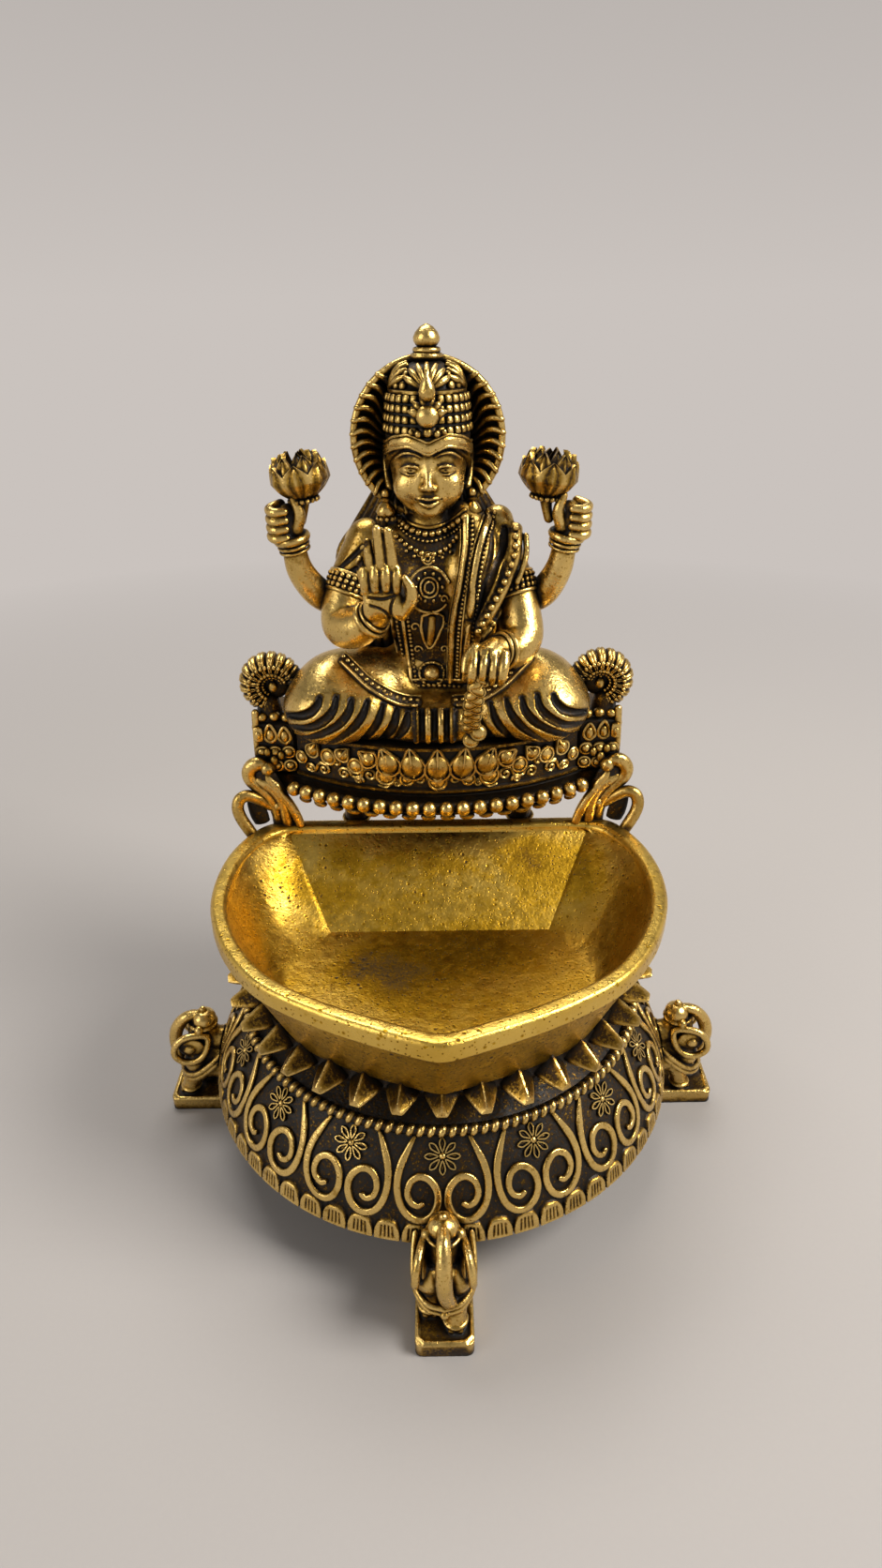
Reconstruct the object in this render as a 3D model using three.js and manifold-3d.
import * as THREE from "three";
import { mergeVertices } from "three/addons/utils/BufferGeometryUtils.js";
import Module from "manifold-3d";

const wasm = await Module();
wasm.setup();

// A cast brass oil lamp, in millimetres, standing on z = 0 with the front of the bowl towards -Y.
// From the table up: four elephant feet, a hollow drum, a collar of petals, the bowl,
// and a throne on the back rim of the bowl that carries a seated figure with four arms.

// Fits
const fitGap = 0.3;
const overrun = 1;
const weldDistance = 0.0001;

// Drum
const drumRimRadius = 57.3;
const drumRimLift = 16;
const drumTopRadius = 48.1;
const drumWallHeight = 20.8;
const drumBulge = 1.8;
const drumWall = 2.6;
const drumLugDepth = 12;
const drumLugThickness = 2.4;
const drumShoulderWidth = 6.6;
const drumNeckHeight = 7.2;

// Relief on the drum's wall: mirrored scrolls with a flower between them, above a row of scallops
const reliefHeight = 0.9;
const reliefRoot = 0.5;
const scrollSink = 0.3;
const scrollUnits = 16;
const scallopCount = 60;
const scallopHeight = 4.6;
const flowerHalfWidth = 3.8;
const flowerHalfHeight = 3.1;
const ropeThickness = 2.6;

// Petal collar
const collarHeight = 5;
const collarPlate = 2.5;
const collarFlare = 4.1;
const collarFootWidth = 4.5;
const petalCount = 36;
const petalTipReach = 6.8;
const petalRootInset = 4.6;
const petalApexReach = 0.4;
const petalApexLift = 2.7;
const petalTipDrop = 1.2;
const petalTipDepth = 1.6;
const petalWidth = 7.4;
const petalTipWidth = 1.6;
const petalRootWidth = 1.2;

// Bowl
const bowlHeight = 20.4;
const bowlHalfWidth = 54;
const bowlFrontReach = 57;
const bowlBackReach = 28;
const bowlRimWidth = 4.2;
const bowlRimRounding = 0.6;
const bowlLipHeight = 5;
const bowlLipStep = 1.6;
const bowlFloorThickness = 2.2;
const bowlFloorHalfWidth = 36;
const bowlFloorFrontReach = 43;
const bowlFloorBackReach = 3;
const bowlUndersideMargin = 4.5;
const bossRadius = 10;

// Stud that holds the bowl, collar and drum together
const studRadius = 3;
const studTail = 7.5;
const studBlindDepth = 1.4;
const washerRadius = 8;
const washerThickness = 1.6;
const nutWidth = 10;
const nutHeight = 4.8;

// Elephant feet
const footOverhang = 15.1;
const footInset = 2.3;
const footPlateWidth = 12.3;
const footPlateThickness = 3.7;
const footPlateCorner = 2;
const elephantHeight = 29.5;
const elephantHalfWidth = 5;
const elephantScrewMargin = 0.4;
const footScrewWallGap = 0.6;
const footScrewRadius = 1.4;
const footScrewHeadRadius = 2.4;
const footScrewHeadHeight = 1.8;
const footScrewDepth = 6;
const drumLugWidth = 14;

// Throne
const throneLift = 8;
const seatHeight = 18.7;
const seatMouldingHeight = 5.7;
const seatFrontReach = 14.7;
const seatFrontRadius = 62;
const seatArcHalfWidth = 37.6;
const seatHalfWidth = 46.6;
const seatBackReach = 49;
const seatWall = 3;
const friezeThickness = 1.6;
const friezeCoinCount = 9;
const friezeCoinRadius = 2.6;
const seatBeadCount = 20;
const seatBeadRadius = 1.7;
const seatBeadLift = 3.2;
const seatBeadPitch = 4.12;
const seatRailRadius = 0.8;
const armWidth = 10.7;
const armDepth = 18.6;
const armHeight = 14;
const armBossRadius = 1.9;
const volutePlaneSetback = 4.6;
const voluteRadius = 5.3;
const voluteTubeRadius = 3.3;
const voluteRibDepth = 0.5;
const voluteRibCount = 14;
const volutePostWidth = 5;

// Support of the throne
const postHalfWidth = 22;
const postDepth = 9;
const scrollTubeRadius = 1.25;
const strapRadius = 1.4;
const scrollReach = 48.7;
const scrollLoopReach = 52;

// Figure
const figureSetback = 30;
const figureHalfSpan = 40;
const figureHalfDepth = 20;
const figureHeight = 90.5;
const limbRadius = 5;
const headHalfWidth = 8.6;
const headHalfDepth = 9.6;
const headHalfHeight = 11.7;
const crownRadius = 9.4;
const headShift = 1.2;
const crownHeight = 22.3;
const haloRadius = 16.7;
const haloDish = 9.5;
const haloThickness = 2;
const lotusRadius = 6.4;
const lotusHeight = 9;
const lotusPetals = 8;
const figureScrewSpread = 27;
const figureScrewSetback = 33;
const figureScrewRadius = 2;
const figureScrewHeadRadius = 3.6;
const figureScrewHeadHeight = 2.4;
const figureScrewDepth = 6;

// Reaches and levels that follow from the parts below and inside
const drumNeckRadius = drumTopRadius - drumShoulderWidth;
const collarRadius = drumNeckRadius + collarFlare;
const petalTipRadius = collarRadius + petalTipReach;
const petalRootRadius = collarRadius - petalRootInset;
const petalApexRadius = collarRadius + petalApexReach;
const footOuterReach = drumRimRadius + footOverhang;
const footScrewHeadLevel = drumRimLift + drumLugThickness + fitGap;
const footScrewTopShare = (footScrewHeadLevel + footScrewHeadHeight - drumRimLift) / drumWallHeight;
const footScrewWallRadius = drumWallRadius(footScrewTopShare) - drumWall - footScrewWallGap;
const footScrewReach = footScrewWallRadius - footScrewHeadRadius;
const footInnerReach = footScrewReach - footInset;
const elephantInnerReach = footScrewReach - elephantScrewMargin;
const elephantLength = footOuterReach - elephantInnerReach;
const saddleLevel = drumRimLift - fitGap;
const drumShoulderLevel = drumRimLift + drumWallHeight;
const drumDeckLevel = drumShoulderLevel + drumNeckHeight;
const deckUnderside = drumDeckLevel - drumWall;
const collarSeatLevel = drumDeckLevel + fitGap;
const collarTopLevel = collarSeatLevel + collarHeight;
const bowlUndersideLevel = collarTopLevel + fitGap;
const bowlRimLevel = bowlUndersideLevel + bowlHeight;
const bowlFloorLevel = bowlUndersideLevel + bowlFloorThickness;
const seatLevel = bowlRimLevel + throneLift;
const seatMouldingLevel = seatLevel + seatMouldingHeight;
const seatTopLevel = seatLevel + seatHeight;
const lapLevel = seatTopLevel + fitGap;
const seatArcCenter = seatFrontReach + seatFrontRadius;
const armFront = seatArcCenter - Math.sqrt(seatFrontRadius ** 2 - seatArcHalfWidth ** 2);
const armInner = seatHalfWidth - armWidth;
const armLevel = seatMouldingLevel + fitGap;
const armTopLevel = armLevel + armHeight;
const headLevel = lapLevel + figureHeight - crownHeight;

// Fineness of the round forms
const drumSides = 32;
const drumWallRows = 3;
const drumScrollSides = 4;
const drumScrollSteps = 7;
const roundSides = 16;
const limbSides = 7;
const limbSteps = 6;
const ballSides = 8;
const ballRows = 5;
const massSides = 12;
const massRows = 7;
const headRows = 9;
const coinSides = 7;
const armBossSides = 6;
const bossRows = 4;
const elephantSides = 6;
const elephantRows = 4;
const elephantLimbSides = 5;
const trunkSteps = 6;
const legSteps = 2;
const footCornerSegments = 3;
const quarterTurn = Math.PI / 2;

const towardsRight = new THREE.Vector3(1, 0, 0);
const towardsBack = new THREE.Vector3(0, 1, 0);
const upward = new THREE.Vector3(0, 0, 1);

// Solids from three.js geometry

// A closed geometry as a solid, with its shared corners merged and its faces pointing out.
function solidOf(geometry) {
  const bare = new THREE.BufferGeometry();
  bare.setAttribute("position", geometry.getAttribute("position"));
  bare.setIndex(geometry.getIndex());
  const merged = mergeVertices(bare, weldDistance);
  const corners = merged.getIndex().array;
  const faces = [];
  for (let i = 0; i < corners.length; i += 3) {
    const [a, b, c] = corners.slice(i, i + 3);
    if (a !== b && b !== c && c !== a) faces.push(a, b, c);
  }
  const vertProperties = merged.getAttribute("position").array;
  const make = (list) =>
    new wasm.Manifold(new wasm.Mesh({ numProp: 3, vertProperties, triVerts: new Uint32Array(list) }));
  const made = make(faces);
  return made.volume() < 0 ? make(faces.reverse()) : made;
}

// A body through rings of points, each closed by a fan to its middle or to a given tip.
function loft(rings, firstTip, lastTip) {
  const count = rings[0].length;
  const middle = (ring) =>
    ring.reduce((sum, p) => sum.add(p), new THREE.Vector3()).divideScalar(ring.length);
  const points = [...rings.flat(), firstTip ?? middle(rings[0]), lastTip ?? middle(rings.at(-1))];
  const faces = [];
  const last = (rings.length - 1) * count;
  for (let k = 0; k < count; k++) {
    const next = (k + 1) % count;
    for (let i = 0; i < last; i += count) {
      faces.push(i + k, i + next, i + count + next);
      faces.push(i + k, i + count + next, i + count + k);
    }
    faces.push(points.length - 2, next, k);
    faces.push(points.length - 1, last + k, last + next);
  }
  const geometry = new THREE.BufferGeometry().setFromPoints(points);
  geometry.setIndex(faces);
  return solidOf(geometry);
}

// A ring of points round a center, in the plane of two directions.
function ringAt(center, across, up, radiusAcross, radiusUp, sides) {
  return Array.from({ length: sides }, (_, k) => {
    const turn = (2 * Math.PI * k) / sides;
    return center
      .clone()
      .addScaledVector(across, radiusAcross * Math.cos(turn))
      .addScaledVector(up, radiusUp * Math.sin(turn));
  });
}

// The value at a share of the way along a list, straight between its entries.
function along(values, share) {
  const place = share * (values.length - 1);
  const from = Math.min(Math.floor(place), values.length - 2);
  return THREE.MathUtils.lerp(values[from], values[from + 1], place - from);
}

// A round limb along a smooth path, with one radius for each of its points and blunt ends.
function limb(path, radii, grow = 0, sides = limbSides, steps = limbSteps, tipShare = 0.5) {
  const curve = new THREE.CatmullRomCurve3(path, false, "centripetal");
  const heading = curve.getTangent(0);
  const seed = Math.abs(heading.z) > Math.abs(heading.y) ? towardsBack : upward;
  let across = new THREE.Vector3().crossVectors(heading, seed).normalize();
  const rings = Array.from({ length: steps + 1 }, (_, i) => {
    const ahead = curve.getTangent(i / steps);
    across = across.addScaledVector(ahead, -across.dot(ahead)).normalize();
    const up = new THREE.Vector3().crossVectors(ahead, across);
    const radius = along(radii, i / steps) + grow;
    return ringAt(curve.getPoint(i / steps), across, up, radius, radius, sides);
  });
  const tipOf = (share) =>
    curve
      .getPoint(share)
      .addScaledVector(curve.getTangent(share), (2 * share - 1) * tipShare * (along(radii, share) + grow));
  return loft(rings, tipOf(0), tipOf(1));
}

function ellipsoid(center, radii, grow = 0, sides = ballSides, rows = ballRows) {
  const ball = new THREE.SphereGeometry(1, sides, rows);
  ball.rotateX(quarterTurn);
  ball.scale(radii.x + grow, radii.y + grow, radii.z + grow);
  ball.translate(center.x, center.y, center.z);
  return solidOf(ball);
}

// A turned body from [radius, level] pairs, upright at a place.
function turned(profile, sides, x = 0, y = 0, z = 0) {
  const geometry = new THREE.LatheGeometry(
    profile.map(([radius, level]) => new THREE.Vector2(radius, level)),
    sides,
  );
  geometry.rotateX(quarterTurn);
  geometry.translate(x, y, z);
  return solidOf(geometry);
}

function column(radius, bottom, top, x = 0, y = 0, sides = roundSides) {
  return turned([[0, bottom], [radius, bottom], [radius, top], [0, top]], sides, x, y);
}

function block(xFrom, xTo, yFrom, yTo, zFrom, zTo) {
  const box = new THREE.BoxGeometry(xTo - xFrom, yTo - yFrom, zTo - zFrom);
  box.translate((xFrom + xTo) / 2, (yFrom + yTo) / 2, (zFrom + zTo) / 2);
  return solidOf(box);
}

// A flat outline raised from one level to another.
function slab(shape, from, to, curveSegments = roundSides) {
  const depth = to - from;
  const geometry = new THREE.ExtrudeGeometry(shape, { depth, bevelEnabled: false, curveSegments });
  geometry.translate(0, 0, from);
  return solidOf(geometry);
}

const joined = (bodies) => bodies.reduce((whole, body) => whole.add(body));

// The main body of a cut piece, without the crumbs that a cut can leave.
function mainBody(body) {
  return body.decompose().reduce((best, one) => (one.volume() > best.volume() ? one : best));
}

// Drum

// The outer radius of the drum's wall at a share of its height.
function drumWallRadius(share) {
  return THREE.MathUtils.lerp(drumRimRadius, drumTopRadius, share) + drumBulge * Math.sin(Math.PI * share);
}

// The outer wall of the drum as [radius, level] pairs, moved out by the given margin.
function drumWallProfile(margin) {
  return Array.from({ length: drumWallRows + 1 }, (_, i) => {
    const share = i / drumWallRows;
    return [drumWallRadius(share) + margin, drumRimLift + drumWallHeight * share];
  });
}

// A place at a turn round the drum and a share of its wall's height, raised off the wall by the given lift.
function onDrumWall(turn, share, lift) {
  const radius = drumWallRadius(share) + lift;
  const level = drumRimLift + drumWallHeight * share;
  return new THREE.Vector3(radius * Math.sin(turn), -radius * Math.cos(turn), level);
}

// One scallop: its places as shares of the pitch between scallops and of its height.
const scallopShares = [[-0.46, 0.04], [0.46, 0.04], [0.3, 0.95], [-0.3, 0.95]];

function scallop(index) {
  const pitch = (2 * Math.PI) / scallopCount;
  const heightShare = scallopHeight / drumWallHeight;
  const ring = (lift) =>
    scallopShares.map(([across, up]) => onDrumWall((index + across) * pitch, up * heightShare, lift));
  return loft([ring(-reliefRoot), ring(reliefHeight)]);
}

// One scroll from its stem under the rope ring round to the inside of its spiral: places as shares of
// half the turn from one unit to the next, and of the wall's height.
const drumScrollShares = [
  [0.61, 0.97], [0.86, 0.75], [0.87, 0.476], [0.578, 0.264], [0.196, 0.322],
  [0.124, 0.567], [0.471, 0.673], [0.693, 0.519], [0.56, 0.41],
];

function drumScroll(unit, side) {
  const halfUnit = Math.PI / scrollUnits;
  const path = drumScrollShares.map(([across, up]) => {
    const turn = (2 * unit + side * across) * halfUnit;
    return onDrumWall(turn, up, -scrollSink);
  });
  const radius = reliefHeight + scrollSink;
  return limb(path, [radius, radius], 0, drumScrollSides, drumScrollSteps);
}

// One flower as a low boss with a peak in its middle.
const flowerLevelShare = 0.846;
const flowerEdgeShare = 0.5;
const flowerSides = 6;

function drumFlower(unit) {
  const turn = (2 * Math.PI * unit) / scrollUnits;
  const ring = (lift) =>
    Array.from({ length: flowerSides }, (_, k) => {
      const way = (2 * Math.PI * k) / flowerSides;
      const across = (flowerHalfWidth * Math.cos(way)) / drumWallRadius(flowerLevelShare);
      const up = (flowerHalfHeight * Math.sin(way)) / drumWallHeight;
      return onDrumWall(turn + across, flowerLevelShare + up, lift);
    });
  const peak = onDrumWall(turn, flowerLevelShare, reliefHeight);
  return loft([ring(-reliefRoot), ring(reliefHeight * flowerEdgeShare)], undefined, peak);
}

function drumRelief() {
  const units = Array.from({ length: scrollUnits }, (_, unit) => unit);
  const scallops = Array.from({ length: scallopCount }, (_, index) => scallop(index));
  return joined([
    ...scallops,
    ...units.flatMap((unit) => [drumScroll(unit, 1), drumScroll(unit, -1), drumFlower(unit)]),
  ]);
}

const ropeRingRadius = drumTopRadius;
const ropeRingLevel = drumShoulderLevel + fitGap + ropeThickness / 2;
const drumCollarRadius = ropeRingRadius - ropeThickness / 2 - fitGap;

// The outside of the drum as a filled body, moved out by the given margin.
function drumEnvelope(margin) {
  const wall = drumWallProfile(margin);
  const [shoulderRadius, shoulderLevel] = wall.at(-1);
  return turned([[0, drumRimLift], ...wall, [shoulderRadius, shoulderLevel], [0, shoulderLevel]], drumSides);
}

// A lug inside the drum's rim, with a hole for the screw of one elephant.
function drumLug(turn) {
  const body = new THREE.BoxGeometry(drumLugWidth, drumLugDepth, drumLugThickness);
  body.translate(0, drumLugDepth / 2 - drumRimRadius, drumRimLift + drumLugThickness / 2);
  body.rotateZ(turn);
  const x = footScrewReach * Math.sin(turn);
  const y = -footScrewReach * Math.cos(turn);
  const holeTop = drumRimLift + drumLugThickness + overrun;
  const hole = column(footScrewRadius + fitGap, drumRimLift - overrun, holeTop, x, y, ballSides);
  return solidOf(body).subtract(hole);
}

function baseDrum() {
  const studHole = studRadius + fitGap;
  const outside = drumWallProfile(0);
  const inside = drumWallProfile(-drumWall).reverse();
  const section = [
    ...outside,
    [drumCollarRadius, drumShoulderLevel],
    [drumCollarRadius, ropeRingLevel],
    [drumNeckRadius, ropeRingLevel + drumWall],
    [drumNeckRadius, drumDeckLevel],
    [studHole, drumDeckLevel],
    [studHole, deckUnderside],
    [drumNeckRadius - drumWall, deckUnderside],
    [drumNeckRadius - drumWall, ropeRingLevel],
    ...inside,
    outside[0],
  ];
  const lugs = footTurns.map(drumLug);
  return turned(section, drumSides).add(drumRelief()).add(joined(lugs).intersect(drumEnvelope(0)));
}

function ropeRing() {
  const ring = new THREE.TorusGeometry(ropeRingRadius, ropeThickness / 2, limbSides, drumSides);
  ring.translate(0, 0, ropeRingLevel);
  return solidOf(ring);
}

// Petal collar

// One petal: a roof that rises from its root to a ridge and droops to a blunt tip.
function petal(turn) {
  const roof = (reach, width, base, ridge) => [
    new THREE.Vector3(-width / 2, -reach, base),
    new THREE.Vector3(0, -reach, ridge),
    new THREE.Vector3(width / 2, -reach, base),
  ];
  const underside = collarTopLevel - collarPlate;
  const tipRidge = collarTopLevel - petalTipDrop;
  const rings = [
    roof(petalRootRadius, petalRootWidth, underside, collarTopLevel),
    roof(petalApexRadius, petalWidth, underside, collarTopLevel + petalApexLift),
    roof(petalTipRadius, petalTipWidth, tipRidge - petalTipDepth, tipRidge),
  ];
  rings.flat().forEach((corner) => corner.applyAxisAngle(upward, turn));
  return loft(rings);
}

function petalCollar() {
  const bossHole = bossRadius + fitGap;
  const underside = collarTopLevel - collarPlate;
  const footInner = drumNeckRadius - collarFootWidth;
  const section = [
    [bossHole, underside],
    [footInner, underside],
    [footInner, collarSeatLevel],
    [drumNeckRadius, collarSeatLevel],
    [collarRadius, underside],
    [collarRadius, collarTopLevel],
    [bossHole, collarTopLevel],
    [bossHole, underside],
  ];
  const petals = Array.from({ length: petalCount }, (_, i) => petal((2 * Math.PI * i) / petalCount));
  return mainBody(joined([turned(section, petalCount), ...petals]).subtract(bowlEnvelope(fitGap)));
}

// Bowl

// Half the outline of the bowl from its back corner to its tip, as shares of its half width and length.
const bowlOutlineShares = [
  [0.78, 0],
  [0.93, 0.03],
  [0.99, 0.11],
  [1, 0.25],
  [0.985, 0.4],
  [0.92, 0.56],
  [0.79, 0.7],
  [0.37, 0.87],
  [0, 1],
];
const bowlOutlineSteps = 12;

// The whole outline at one level, round from the left back corner, the tip and the right back corner.
function bowlRing(halfWidth, back, front, level) {
  const corners = bowlOutlineShares.map(
    ([x, y]) => new THREE.Vector2(x * halfWidth, THREE.MathUtils.lerp(back, -front, y)),
  );
  const half = new THREE.SplineCurve(corners).getPoints(bowlOutlineSteps);
  const right = half.map((p) => new THREE.Vector3(p.x, p.y, level));
  const left = half.slice(0, -1).map((p) => new THREE.Vector3(-p.x, p.y, level));
  return [...left, ...right.reverse()];
}

const bowlRimRing = (inset, level) =>
  bowlRing(bowlHalfWidth - inset, bowlBackReach - inset, bowlFrontReach - inset, level);

function bowlUndersideRing(grow) {
  const margin = bowlUndersideMargin + grow;
  return bowlRing(
    bowlFloorHalfWidth + margin,
    bowlFloorBackReach + margin,
    bowlFloorFrontReach + margin,
    bowlUndersideLevel - grow,
  );
}

// The outside of the bowl as a filled body, grown by a gap, for the pieces that it rests on.
function bowlEnvelope(grow) {
  const lipLevel = bowlRimLevel - bowlLipHeight;
  return loft([
    bowlUndersideRing(grow),
    bowlRimRing(bowlLipStep - grow, lipLevel),
    bowlRimRing(-grow, lipLevel + bowlLipStep / 4),
    bowlRimRing(-grow, bowlRimLevel + grow),
  ]);
}

function lampBowl() {
  const lipLevel = bowlRimLevel - bowlLipHeight;
  const shell = loft([
    bowlUndersideRing(0),
    bowlRimRing(bowlLipStep, lipLevel),
    bowlRimRing(0, lipLevel + bowlLipStep / 4),
    bowlRimRing(0, bowlRimLevel - bowlRimRounding),
    bowlRimRing(bowlRimRounding, bowlRimLevel),
    bowlRimRing(bowlRimWidth - bowlRimRounding, bowlRimLevel),
    bowlRimRing(bowlRimWidth, bowlRimLevel - bowlRimRounding),
    bowlRing(bowlFloorHalfWidth, bowlFloorBackReach, bowlFloorFrontReach, bowlFloorLevel),
  ]);
  const boss = column(bossRadius, collarSeatLevel, bowlFloorLevel - bowlFloorThickness / 2);
  const blindHole = column(studRadius + fitGap, collarSeatLevel - overrun, bowlFloorLevel - studBlindDepth);
  return shell.add(boss).subtract(blindHole);
}

// Stud, washer and nut

const washerLevel = deckUnderside - fitGap - washerThickness;
const nutLevel = washerLevel - fitGap - nutHeight;

function centerStud() {
  return column(studRadius, deckUnderside - studTail, bowlFloorLevel - studBlindDepth - fitGap);
}

function studWasher() {
  const hole = column(studRadius + fitGap, washerLevel - overrun, deckUnderside + overrun);
  return column(washerRadius, washerLevel, washerLevel + washerThickness).subtract(hole);
}

function studNut() {
  const hexSides = 6;
  const hexRadius = nutWidth / 2 / Math.cos(Math.PI / hexSides);
  const hole = column(studRadius + fitGap, nutLevel - overrun, washerLevel + overrun);
  return column(hexRadius, nutLevel, nutLevel + nutHeight, 0, 0, hexSides).subtract(hole);
}

// Elephant feet, each modelled at the front and turned to its own quarter

const footTurns = [0, 1, 2, 3].map((quarter) => quarter * quarterTurn);
const footNames = ["front", "right", "rear", "left"];

// A place on an elephant, as shares of its half width, of its length from the drum side, and of its height.
function elephantPoint([x, out, up]) {
  const reach = elephantInnerReach + out * elephantLength;
  return new THREE.Vector3(x * elephantHalfWidth, -reach, up * elephantHeight);
}

const elephantSize = ([x, out, up]) =>
  new THREE.Vector3(x * elephantHalfWidth, out * elephantLength, up * elephantHeight);

// Rounded masses of the elephant: place and radii, as shares.
const elephantMassShares = [
  { place: [0, 0.32, 0.41], radii: [0.96, 0.4, 0.2] },
  { place: [0, 0.58, 0.47], radii: [0.92, 0.19, 0.23] },
  { place: [0, 0.62, 0.76], radii: [0.8, 0.2, 0.16] },
  { place: [0, 0.52, 0.92], radii: [0.48, 0.11, 0.08] },
  { place: [-0.72, 0.53, 0.75], radii: [0.24, 0.13, 0.12] },
  { place: [0.72, 0.53, 0.75], radii: [0.24, 0.13, 0.12] },
];
const trunkShares = [
  [0, 0.76, 0.79],
  [0, 0.9, 0.74],
  [0, 0.93, 0.61],
  [0, 0.83, 0.53],
  [0, 0.7, 0.57],
];
const trunkRadiusShares = [0.4, 0.3, 0.25, 0.23, 0.2];
const legShares = [
  [[-0.52, 0.62, 0.4], [-0.54, 0.68, 0.25], [-0.56, 0.7, 0.13]],
  [[0.48, 0.64, 0.4], [0.46, 0.78, 0.25], [0.44, 0.9, 0.13]],
  [[-0.56, 0.16, 0.36], [-0.56, 0.15, 0.24], [-0.56, 0.15, 0.13]],
  [[0.56, 0.16, 0.36], [0.56, 0.15, 0.24], [0.56, 0.15, 0.13]],
];
const legRadiusShares = [0.44, 0.34, 0.38];

function footPlate() {
  const half = footPlateWidth / 2;
  const corner = footPlateCorner;
  const outline = new THREE.Shape();
  outline.moveTo(-half, -footInnerReach);
  outline.lineTo(-half, corner - footOuterReach);
  outline.absarc(corner - half, corner - footOuterReach, corner, Math.PI, 3 * quarterTurn);
  outline.absarc(half - corner, corner - footOuterReach, corner, 3 * quarterTurn, 2 * Math.PI);
  outline.lineTo(half, -footInnerReach);
  return slab(outline, 0, footPlateThickness, footCornerSegments);
}

function footScrewColumn(radius, bottom, top) {
  return column(radius, bottom, top, 0, -footScrewReach, ballSides);
}

function elephant() {
  const scaled = (shares) => shares.map((share) => share * elephantHalfWidth);
  const masses = elephantMassShares.map(({ place, radii }) =>
    ellipsoid(elephantPoint(place), elephantSize(radii), 0, elephantSides, elephantRows),
  );
  const rod = (path, radii, steps) =>
    limb(path.map(elephantPoint), scaled(radii), 0, elephantLimbSides, steps);
  const trunk = rod(trunkShares, trunkRadiusShares, trunkSteps);
  const legs = legShares.map((path) => rod(path, legRadiusShares, legSteps));
  const drumSpace = turned(
    [
      [0, saddleLevel],
      [drumRimRadius + reliefHeight + fitGap, saddleLevel],
      ...drumWallProfile(reliefHeight + fitGap),
      [0, drumShoulderLevel],
    ],
    drumSides,
  );
  const holeBottom = saddleLevel - footScrewDepth - fitGap;
  const screwHole = footScrewColumn(footScrewRadius + fitGap, holeBottom, drumRimLift);
  const whole = joined([footPlate(), ...masses, trunk, ...legs]);
  return mainBody(whole.subtract(drumSpace).subtract(screwHole));
}

function footScrew() {
  const shank = footScrewColumn(footScrewRadius, saddleLevel - footScrewDepth, footScrewHeadLevel);
  const headTop = footScrewHeadLevel + footScrewHeadHeight;
  return shank.add(footScrewColumn(footScrewHeadRadius, footScrewHeadLevel, headTop));
}

// Throne

const halfArcTurn = (radius, halfWidth) => Math.asin(halfWidth / radius);

// A plan with an arched front round the seat's center and square corners behind.
function seatPlan(radius, arcHalfWidth, halfWidth, back) {
  const turn = halfArcTurn(radius, arcHalfWidth);
  const shoulder = seatArcCenter - radius * Math.cos(turn);
  const plan = new THREE.Shape();
  plan.moveTo(halfWidth, back);
  plan.lineTo(-halfWidth, back);
  plan.lineTo(-halfWidth, shoulder);
  plan.absarc(0, seatArcCenter, radius, 3 * quarterTurn - turn, 3 * quarterTurn + turn);
  plan.lineTo(halfWidth, shoulder);
  return plan;
}

const seatUpperHalfWidth = armInner - fitGap;
const seatUpperRadius = seatFrontRadius - friezeThickness - fitGap;
const seatCavityRadius = seatUpperRadius - seatWall;

function throneSeat() {
  const moulding = seatPlan(seatFrontRadius, seatArcHalfWidth, seatHalfWidth, seatBackReach);
  const upper = seatPlan(seatUpperRadius, seatUpperHalfWidth, seatUpperHalfWidth, seatBackReach);
  const cavityHalfWidth = seatUpperHalfWidth - seatWall;
  const cavityBack = seatBackReach - seatWall;
  const cavity = seatPlan(seatCavityRadius, cavityHalfWidth, cavityHalfWidth, cavityBack);
  const whole = slab(moulding, seatLevel, seatMouldingLevel).add(
    slab(upper, seatMouldingLevel - overrun, seatTopLevel),
  );
  const hollow = slab(cavity, seatLevel - overrun, seatTopLevel - seatWall);
  const holeBottom = seatTopLevel - seatWall - overrun;
  const screwHoles = sides.map((side) =>
    figureScrewColumn(side, figureScrewRadius + fitGap, holeBottom, seatTopLevel + overrun),
  );
  return whole.subtract(hollow).subtract(joined(screwHoles));
}

// A place on an arc round the seat's center, by its distance along the arc from the middle.
function onSeatArc(radius, distance, level) {
  const turn = distance / radius;
  return new THREE.Vector3(radius * Math.sin(turn), seatArcCenter - radius * Math.cos(turn), level);
}

function seatFrieze() {
  const turn = halfArcTurn(seatFrontRadius, seatUpperHalfWidth - fitGap);
  const from = 3 * quarterTurn - turn;
  const to = 3 * quarterTurn + turn;
  const band = new THREE.Shape();
  band.absarc(0, seatArcCenter, seatFrontRadius, from, to);
  band.absarc(0, seatArcCenter, seatFrontRadius - friezeThickness, to, from, true);
  const bottom = seatMouldingLevel + fitGap;
  const middle = (bottom + seatTopLevel) / 2;
  const pitch = (2 * seatFrontRadius * turn) / (friezeCoinCount + 1);
  const coins = Array.from({ length: friezeCoinCount }, (_, i) => {
    const rise = (i % 2 ? 1 : -1) * friezeCoinRadius;
    const place = onSeatArc(seatFrontRadius, (i - (friezeCoinCount - 1) / 2) * pitch, middle + rise / 2);
    const coin = new THREE.Vector3(friezeCoinRadius, friezeThickness, friezeCoinRadius);
    return ellipsoid(place, coin, 0, coinSides, bossRows);
  });
  return joined([slab(band, bottom, seatTopLevel, ballSides), ...coins]);
}

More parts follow.
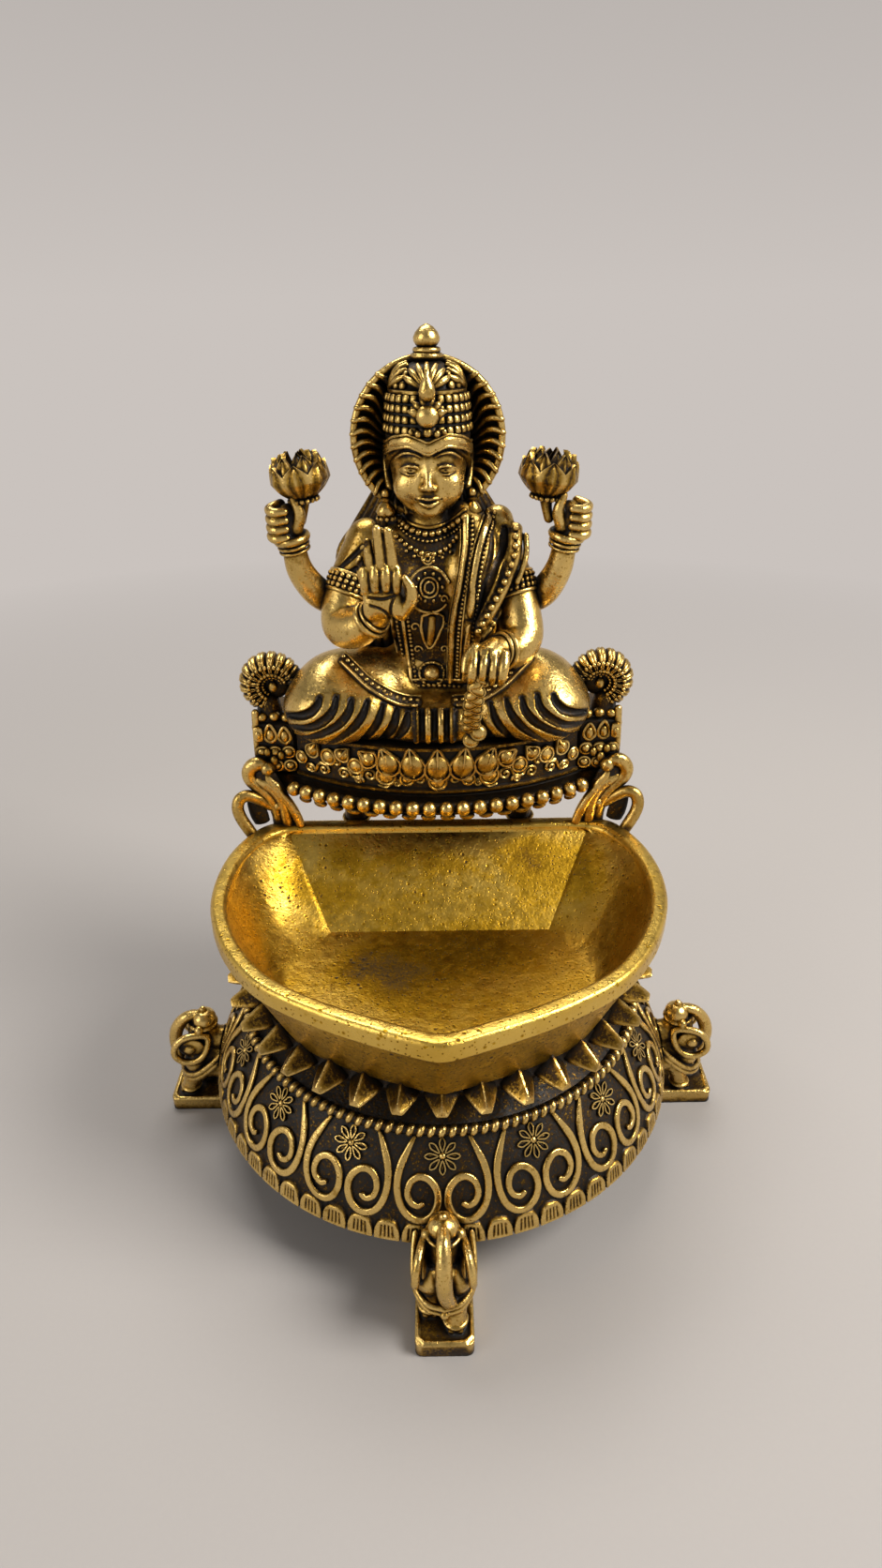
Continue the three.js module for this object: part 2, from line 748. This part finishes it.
function seatBeadRail() {
  const radius = seatFrontRadius + fitGap + seatBeadRadius;
  const level = seatLevel + seatBeadLift;
  const places = Array.from({ length: seatBeadCount + 1 }, (_, i) =>
    onSeatArc(radius, (i - seatBeadCount / 2) * seatBeadPitch, level),
  );
  const waistAndSwells = [seatRailRadius, seatBeadRadius, seatBeadRadius];
  const radii = Array.from({ length: 3 * seatBeadCount + 1 }, (_, i) => waistAndSwells[i % 3]);
  const rail = limb(places, radii, 0, limbSides, 3 * seatBeadCount);
  const moulding = seatPlan(seatFrontRadius + fitGap, seatArcHalfWidth, seatHalfWidth, seatBackReach);
  return mainBody(rail.subtract(slab(moulding, seatLevel - overrun, seatMouldingLevel)));
}

// Arms of the throne with their bosses and curled volutes: side is 1 on the right and -1 on the left

const sides = [-1, 1];
const sideNames = ["left", "right"];
const armBossShares = [
  [0.14, 0.2],
  [0.5, 0.2],
  [0.86, 0.2],
  [0.14, 0.55],
  [0.5, 0.55],
  [0.86, 0.55],
];

const armBoss = new THREE.Vector3(armBossRadius, armBossRadius / 2, armBossRadius);

function armBlock(side, grow = 0) {
  const middle = side * (armInner + armWidth / 2);
  const half = armWidth / 2 + grow;
  const body = block(
    middle - half, middle + half,
    armFront - grow, armFront + armDepth + grow,
    armLevel - grow, armTopLevel + grow,
  );
  const bosses = armBossShares.map(([x, z]) => {
    const place = new THREE.Vector3(side * (armInner + x * armWidth), armFront, armLevel + z * armHeight);
    return ellipsoid(place, armBoss, grow, armBossSides, bossRows);
  });
  return joined([body, ...bosses]);
}

const voluteCenterX = armInner + armWidth / 2 - fitGap;
const voluteLevel = armTopLevel + fitGap + voluteRadius + voluteTubeRadius;
const voluteStartAngle = -1.2;
const voluteEndAngle = 2.7;
const voluteEndShare = 0.55;

function volute(side) {
  const middle = new THREE.Vector3(side * voluteCenterX, armFront + volutePlaneSetback, voluteLevel);
  const count = voluteRibCount * 2;
  const rings = Array.from({ length: count + 1 }, (_, i) => {
    const share = i / count;
    const turn = THREE.MathUtils.lerp(voluteStartAngle, voluteEndAngle, share);
    const outward = new THREE.Vector3(side * Math.cos(turn), 0, Math.sin(turn));
    const center = middle.clone().addScaledVector(outward, voluteRadius);
    const swell = THREE.MathUtils.lerp(1, voluteEndShare, Math.max(0, 2 * share - 1));
    const radius = (voluteTubeRadius - (i % 2 ? 0 : voluteRibDepth)) * swell;
    return ringAt(center, outward, towardsBack, radius, radius, limbSides);
  });
  const curl = loft(rings);
  const postX = middle.x + side * (voluteRadius - volutePostWidth / 2);
  const post = block(
    postX - volutePostWidth / 2,
    postX + volutePostWidth / 2,
    middle.y - voluteTubeRadius,
    middle.y + voluteTubeRadius,
    armTopLevel + fitGap,
    voluteLevel - voluteRadius,
  );
  return curl.add(post);
}

// The post under the seat: it stands on the collar behind the bowl and steps over the bowl's back rim

function thronePost() {
  const cavityRadius = seatUpperRadius - seatWall;
  const cavityFront = seatArcCenter - Math.sqrt(cavityRadius ** 2 - postHalfWidth ** 2);
  const front = Math.max(bowlBackReach - bowlRimWidth + bowlRimRounding, cavityFront + fitGap);
  const back = front + postDepth;
  const rimTop = bowlRimLevel + fitGap;
  const profile = new THREE.Shape();
  profile.moveTo(front, rimTop);
  profile.lineTo(bowlBackReach + fitGap, rimTop);
  profile.lineTo(bowlBackReach + fitGap, bowlUndersideLevel);
  profile.lineTo(back, bowlUndersideLevel);
  profile.lineTo(back, seatTopLevel - seatWall - fitGap);
  profile.lineTo(front, seatTopLevel - seatWall - fitGap);
  const geometry = new THREE.ExtrudeGeometry(profile, { depth: 2 * postHalfWidth, bevelEnabled: false });
  geometry.translate(0, 0, -postHalfWidth);
  geometry.rotateX(quarterTurn);
  geometry.rotateZ(quarterTurn);
  return solidOf(geometry);
}

// Scroll brackets between the throne's corners and the bowl's back rim

const scrollPlane = armFront - scrollTubeRadius;
const scrollFootLevel = bowlRimLevel + fitGap;

// A place on a bracket: its reach from the middle, as a share of the widest, and its level from rim to arm.
function scrollPoint(side, reach, [x, up], setback = 0) {
  const level = THREE.MathUtils.lerp(scrollFootLevel, armLevel + armHeight / 2, up);
  return new THREE.Vector3(side * x * reach, scrollPlane - setback, level);
}

const scrollShares = [
  [0.9, 0.78],
  [0.935, 0.825],
  [0.975, 0.8],
  [1, 0.7],
  [0.99, 0.59],
  [0.95, 0.48],
  [0.91, 0.37],
  [0.88, 0.24],
  [0.868, 0.1],
  [0.867, -0.06],
];
const scrollLoopShares = [
  [0.845, 0.22],
  [0.9, 0.35],
  [0.948, 0.415],
  [0.987, 0.382],
  [1, 0.275],
  [0.992, 0.14],
  [0.973, -0.06],
];
const scrollStrapShares = [[0.95, 0.6], [0.893, 0.52], [0.846, 0.38], [0.822, 0.2], [0.815, -0.06]];
const scrollLoopSetback = 3.2;
const scrollSides = 5;
const scrollSteps = 9;

function scrollBracket(side) {
  const setbackShare = (i) => i / (scrollLoopShares.length - 1);
  const rod = (radius, path) => limb(path, [radius, radius], 0, scrollSides, scrollSteps);
  const hook = rod(scrollTubeRadius, scrollShares.map((share) => scrollPoint(side, scrollReach, share)));
  const strap = rod(strapRadius, scrollStrapShares.map((share) => scrollPoint(side, scrollReach, share)));
  const loopPath = scrollLoopShares.map((share, i) =>
    scrollPoint(side, scrollLoopReach, share, scrollLoopSetback * setbackShare(i)),
  );
  const loop = rod(scrollTubeRadius, loopPath);
  const mouldingRadius = seatFrontRadius + fitGap;
  const moulding = seatPlan(mouldingRadius, seatArcHalfWidth, seatHalfWidth + fitGap, seatBackReach);
  const throneSpace = slab(moulding, seatLevel - fitGap, seatMouldingLevel).add(armBlock(side, fitGap));
  return mainBody(joined([hook, loop, strap]).subtract(bowlEnvelope(fitGap)).subtract(throneSpace));
}

// Figure

// Places on the figure are shares of its half span, half depth and height, from the middle of its seat.
const figureSeat = new THREE.Vector3(0, figureSetback, lapLevel);
const figureFrame = new THREE.Vector3(figureHalfSpan, figureHalfDepth, figureHeight);
const figureSize = (shares) => new THREE.Vector3(...shares).multiply(figureFrame);
const figurePoint = (shares) => figureSize(shares).add(figureSeat);
const figureMass = ({ place, radii }, grow) =>
  ellipsoid(figurePoint(place), figureSize(radii), grow, massSides, massRows);

const lapMassShares = [
  { place: [-0.51, -0.12, 0.08], radii: [0.415, 0.72, 0.1] },
  { place: [0.51, -0.12, 0.08], radii: [0.415, 0.72, 0.1] },
  { place: [0, -0.42, 0.05], radii: [0.62, 0.4, 0.066] },
  { place: [0, 0.2, 0.1], radii: [0.44, 0.6, 0.12] },
];

function lapBody(grow) {
  return joined(lapMassShares.map((mass) => figureMass(mass, grow)));
}

function figureLap() {
  const below = block(-seatHalfWidth, seatHalfWidth, 0, seatBackReach + overrun, seatLevel, lapLevel);
  const holeTop = lapLevel + figureScrewDepth + fitGap;
  const screwHoles = sides.map((side) =>
    figureScrewColumn(side, figureScrewRadius + fitGap, seatTopLevel, holeTop),
  );
  return lapBody(0).subtract(below).subtract(joined(screwHoles));
}

function figureScrewColumn(side, radius, bottom, top) {
  return column(radius, bottom, top, side * figureScrewSpread, figureScrewSetback, ballSides);
}

function figureScrew(side) {
  const headTop = seatTopLevel - seatWall - fitGap;
  const shank = figureScrewColumn(side, figureScrewRadius, headTop, lapLevel + figureScrewDepth);
  const headBottom = headTop - figureScrewHeadHeight;
  return shank.add(figureScrewColumn(side, figureScrewHeadRadius, headBottom, headTop));
}

// Sections of the trunk from the hips to the neck: level, setback, half width and half depth, as shares.
const torsoSectionShares = [
  [0.09, 0.15, 0.33, 0.46],
  [0.165, 0.15, 0.275, 0.43],
  [0.232, 0.12, 0.21, 0.35],
  [0.32, 0.06, 0.29, 0.43],
  [0.4, 0.03, 0.365, 0.5],
  [0.465, 0.06, 0.41, 0.45],
  [0.525, 0.1, 0.42, 0.37],
  [0.56, 0.1, 0.27, 0.3],
  [0.585, 0.05, 0.13, 0.25],
  [0.63, 0, 0.115, 0.23],
];
const bustMassShares = [
  { place: [-0.17, -0.28, 0.41], radii: [0.15, 0.26, 0.065] },
  { place: [0.17, -0.28, 0.41], radii: [0.15, 0.26, 0.065] },
];

function torsoBody(grow) {
  const rings = torsoSectionShares.map(([z, y, halfWidth, halfDepth]) => {
    const width = halfWidth * figureHalfSpan + grow;
    const depth = halfDepth * figureHalfDepth + grow;
    return ringAt(figurePoint([0, y, z]), towardsRight, towardsBack, width, depth, 12);
  });
  return joined([loft(rings), ...bustMassShares.map((mass) => figureMass(mass, grow))]);
}

const headDropShare = 0.42;
const headSetForwardShare = 0.25;
const headCenter = new THREE.Vector3(
  -headShift,
  figureSetback - headSetForwardShare * headHalfDepth,
  headLevel - headDropShare * headHalfHeight,
);

function headBody(grow) {
  const radii = new THREE.Vector3(headHalfWidth, headHalfDepth, headHalfHeight);
  return ellipsoid(headCenter, radii, grow, massSides, headRows);
}

// Nose, ears and ear drops: places from the middle of the head and radii, as shares of its half sizes.
const headFeatureShares = [
  { place: [0, -0.95, -0.1], radii: [0.16, 0.16, 0.17] },
  { place: [-0.98, 0, -0.1], radii: [0.13, 0.22, 0.24] },
  { place: [0.98, 0, -0.1], radii: [0.13, 0.22, 0.24] },
  { place: [-1, -0.05, -0.42], radii: [0.22, 0.2, 0.16] },
  { place: [1, -0.05, -0.42], radii: [0.22, 0.2, 0.16] },
];

function figureHead() {
  const half = new THREE.Vector3(headHalfWidth, headHalfDepth, headHalfHeight);
  const features = headFeatureShares.map(({ place, radii }) => {
    const center = new THREE.Vector3(...place).multiply(half).add(headCenter);
    return ellipsoid(center, new THREE.Vector3(...radii).multiply(half), 0, 6, 4);
  });
  return mainBody(joined([headBody(0), ...features]).subtract(torsoBody(fitGap)));
}

// The crown from its band to its finial: radius and level, as shares of its radius and height.
const crownProfileShares = [
  [0, -0.02], [1, -0.02], [1.02, 0.14], [0.94, 0.19], [0.92, 0.36], [0.78, 0.51], [0.56, 0.61],
  [0.34, 0.64], [0.3, 0.7], [0.18, 0.75], [0.27, 0.85], [0.16, 0.95], [0, 1],
];
const crownDepthShare = 1.07;
const crownSides = 14;

function crownBody(grow) {
  const profile = crownProfileShares.map(
    ([radius, level]) => new THREE.Vector2(radius && radius * crownRadius + grow, level * crownHeight),
  );
  const geometry = new THREE.LatheGeometry(profile, crownSides);
  geometry.rotateX(quarterTurn);
  geometry.scale(1, crownDepthShare, 1);
  geometry.translate(headCenter.x, headCenter.y, headLevel);
  return solidOf(geometry);
}

function crown() {
  return mainBody(crownBody(0).subtract(headBody(fitGap)));
}

// The halo's section from its middle to its rim and back: radius as a share of its radius,
// setback as a share of its dish, and whether the point is on the back face.
const haloSectionShares = [
  [0, 1, 0], [0.42, 0.9, 0], [0.8, 0.42, 0], [0.94, 0, 0],
  [1, 0, 0], [1, 0.15, 0], [0.86, 0.42, 1], [0.46, 0.9, 1], [0, 1, 1],
];

const haloSides = 24;

function halo() {
  const section = haloSectionShares.map(([radius, dish, back]) => {
    return new THREE.Vector2(radius * haloRadius, dish * haloDish + back * haloThickness);
  });
  const geometry = new THREE.LatheGeometry(section, haloSides);
  geometry.translate(headCenter.x, headCenter.y, headLevel);
  return mainBody(
    solidOf(geometry).subtract(headBody(fitGap)).subtract(crownBody(fitGap)).subtract(torsoBody(fitGap)),
  );
}

// Arms: each a path of places with radii as shares of the thickest limb

const armPaths = {
  blessing: [
    [-0.42, 0.05, 0.49],
    [-0.54, -0.1, 0.37],
    [-0.6, -0.42, 0.285],
    [-0.49, -0.62, 0.29],
    [-0.37, -0.75, 0.33],
  ],
  giving: [
    [0.42, 0.05, 0.49],
    [0.55, -0.1, 0.37],
    [0.61, -0.45, 0.28],
    [0.48, -0.65, 0.25],
    [0.36, -0.78, 0.25],
  ],
  rearLeft: [
    [-0.38, 0.3, 0.44],
    [-0.56, 0.15, 0.36],
    [-0.67, -0.05, 0.37],
    [-0.77, -0.2, 0.44],
    [-0.8, -0.25, 0.52],
  ],
  rearRight: [
    [0.38, 0.3, 0.44],
    [0.54, 0.15, 0.36],
    [0.63, -0.05, 0.37],
    [0.71, -0.2, 0.44],
    [0.74, -0.25, 0.52],
  ],
};
const armRadiusShares = [1, 0.95, 0.84, 0.74, 0.54];
const rearArmRadiusShares = [0.8, 0.78, 0.72, 0.62, 0.5];

// Palms as masses, and fingers as paths.
const palmShares = {
  blessing: { place: [-0.33, -0.86, 0.395], radii: [0.115, 0.12, 0.075] },
  giving: { place: [0.28, -0.88, 0.24], radii: [0.12, 0.16, 0.04] },
  rearLeft: { place: [-0.81, -0.25, 0.565], radii: [0.085, 0.12, 0.055] },
  rearRight: { place: [0.75, -0.25, 0.565], radii: [0.085, 0.12, 0.055] },
};
const fingerPaths = {
  blessing: [
    [[-0.4, -0.88, 0.43], [-0.39, -0.92, 0.52], [-0.385, -0.92, 0.565]],
    [[-0.35, -0.89, 0.44], [-0.335, -0.93, 0.54], [-0.33, -0.93, 0.585]],
    [[-0.3, -0.89, 0.44], [-0.28, -0.93, 0.54], [-0.275, -0.93, 0.58]],
    [[-0.26, -0.88, 0.43], [-0.23, -0.92, 0.51], [-0.22, -0.92, 0.55]],
    [[-0.24, -0.86, 0.36], [-0.18, -0.9, 0.385], [-0.17, -0.9, 0.425]],
  ],
  giving: [
    [[0.24, -0.9, 0.245], [0.19, -0.98, 0.225], [0.17, -1, 0.195]],
    [[0.27, -0.93, 0.235], [0.24, -1.02, 0.205], [0.23, -1.03, 0.17]],
    [[0.31, -0.95, 0.225], [0.3, -1.02, 0.19], [0.3, -1.02, 0.155]],
    [[0.25, -0.85, 0.27], [0.18, -0.9, 0.265], [0.15, -0.94, 0.24]],
  ],
  rearLeft: [
    [[-0.84, -0.28, 0.6], [-0.82, -0.34, 0.635], [-0.77, -0.34, 0.64]],
    [[-0.8, -0.28, 0.6], [-0.76, -0.34, 0.62], [-0.72, -0.32, 0.625]],
  ],
  rearRight: [
    [[0.78, -0.28, 0.6], [0.76, -0.34, 0.635], [0.71, -0.34, 0.64]],
    [[0.74, -0.28, 0.6], [0.7, -0.34, 0.62], [0.66, -0.32, 0.625]],
  ],
};
const fingerRadiusShares = [0.24, 0.22, 0.17];

function armBody(name, grow) {
  const scaled = (shares) => shares.map((share) => share * limbRadius);
  const radii = scaled(name.startsWith("rear") ? rearArmRadiusShares : armRadiusShares);
  const fingerRadii = scaled(fingerRadiusShares);
  const fingers = fingerPaths[name].map((path) => limb(path.map(figurePoint), fingerRadii, grow, 5, 2));
  const { place, radii: palmRadii } = palmShares[name];
  const palm = ellipsoid(figurePoint(place), figureSize(palmRadii), grow, limbSides);
  return joined([limb(armPaths[name].map(figurePoint), radii, grow), palm, ...fingers]);
}

const frontArm = (name) => mainBody(armBody(name, 0).subtract(torsoBody(fitGap)).subtract(lapBody(fitGap)));

function rearArm(name, neighbor) {
  return mainBody(armBody(name, 0).subtract(torsoBody(fitGap)).subtract(armBody(neighbor, fitGap)));
}

// Lotus flowers in the rear hands

const lotusPlaceShares = { rearLeft: [-0.72, -0.25, 0.665], rearRight: [0.615, -0.25, 0.665] };
const lotusProfileShares = [
  [0.28, -0.5],
  [0.72, -0.3],
  [0.98, 0.15],
  [0.92, 0.5],
  [0.5, 0.3],
];
const lotusPetalShare = 0.12;

function lotus(name) {
  const center = figurePoint(lotusPlaceShares[name]);
  const count = lotusPetals * 3;
  const rings = lotusProfileShares.map(([reach, level]) =>
    Array.from({ length: count }, (_, k) => {
      const turn = (2 * Math.PI * k) / count;
      const radius = lotusRadius * reach * (1 + lotusPetalShare * (Math.cos(lotusPetals * turn) - 1));
      const height = level * lotusHeight;
      return new THREE.Vector3(radius * Math.cos(turn), radius * Math.sin(turn), height).add(center);
    }),
  );
  return mainBody(loft(rings).subtract(armBody(name, fitGap)));
}

// The stream of coins that falls from the giving hand over the lap
const coinStreamShares = [
  [0.225, -0.94, 0.2],
  [0.215, -0.9, 0.13],
  [0.205, -0.85, 0.07],
  [0.2, -0.8, 0.02],
];
const coinCount = 6;
const coinRadiusShare = 0.46;
const coinWaistShare = 0.34;

function coinStream() {
  const radii = Array.from({ length: 2 * coinCount + 1 }, (_, i) => {
    return limbRadius * (i % 2 ? coinRadiusShare : coinWaistShare);
  });
  const stream = limb(coinStreamShares.map(figurePoint), radii, 0, limbSides, 2 * coinCount);
  return mainBody(stream.subtract(lapBody(fitGap)).subtract(armBody("giving", fitGap)));
}

// Finish of the castings

const brassRoughness = 0.36;
const brass = (color) => new THREE.MeshStandardMaterial({ color, roughness: brassRoughness, metalness: 1 });

const lamp = new THREE.Group();

function addPiece(name, body, color, parent = lamp) {
  const { vertProperties, triVerts } = body.getMesh();
  const geometry = new THREE.BufferGeometry();
  geometry.setAttribute("position", new THREE.BufferAttribute(vertProperties, 3));
  geometry.setIndex(new THREE.BufferAttribute(triVerts, 1));
  geometry.computeVertexNormals();
  const mesh = new THREE.Mesh(geometry, brass(color));
  mesh.name = name;
  parent.add(mesh);
}

addPiece("base_drum", baseDrum(), 0x8a6a35);
addPiece("rope_ring", ropeRing(), 0xc39a52);
addPiece("petal_collar", petalCollar(), 0xa8834a);
addPiece("lamp_bowl", lampBowl(), 0xc9a45c);
addPiece("center_stud", centerStud(), 0x9c8450);
addPiece("stud_washer", studWasher(), 0xb39a63);
addPiece("stud_nut", studNut(), 0xa58c58);

footTurns.forEach((turn, i) => {
  const quarter = new THREE.Group();
  quarter.rotation.z = turn;
  addPiece(`elephant_foot_${footNames[i]}`, elephant(), 0xa07c42, quarter);
  addPiece(`foot_screw_${footNames[i]}`, footScrew(), 0x8f7a4c, quarter);
  lamp.add(quarter);
});

addPiece("throne_seat", throneSeat(), 0x6f5429);
addPiece("seat_frieze", seatFrieze(), 0xb08a48);
addPiece("seat_bead_rail", seatBeadRail(), 0xd0ad66);
addPiece("throne_post", thronePost(), 0x8a6a35);
sides.forEach((side, i) => {
  addPiece(`throne_arm_${sideNames[i]}`, armBlock(side), 0x94733b);
  addPiece(`arm_volute_${sideNames[i]}`, volute(side), 0xbd9650);
  addPiece(`scroll_bracket_${sideNames[i]}`, scrollBracket(side), 0xb8924e);
  addPiece(`figure_screw_${sideNames[i]}`, figureScrew(side), 0x8f7a4c);
});

addPiece("figure_lap", figureLap(), 0xc7a25a);
addPiece("figure_torso", mainBody(torsoBody(0).subtract(lapBody(fitGap))), 0x8d6d38);
addPiece("figure_head", figureHead(), 0xc6a15b);
addPiece("crown", crown(), 0xbb9550);
addPiece("halo", halo(), 0x9a783f);
addPiece("arm_blessing", frontArm("blessing"), 0xc19b55);
addPiece("arm_giving", frontArm("giving"), 0xc19b55);
addPiece("rear_arm_left", rearArm("rearLeft", "blessing"), 0xb28d4b);
addPiece("rear_arm_right", rearArm("rearRight", "giving"), 0xb28d4b);
addPiece("lotus_left", lotus("rearLeft"), 0xc9a45c);
addPiece("lotus_right", lotus("rearRight"), 0xc9a45c);
addPiece("coin_stream", coinStream(), 0xd0ad66);

export default lamp;
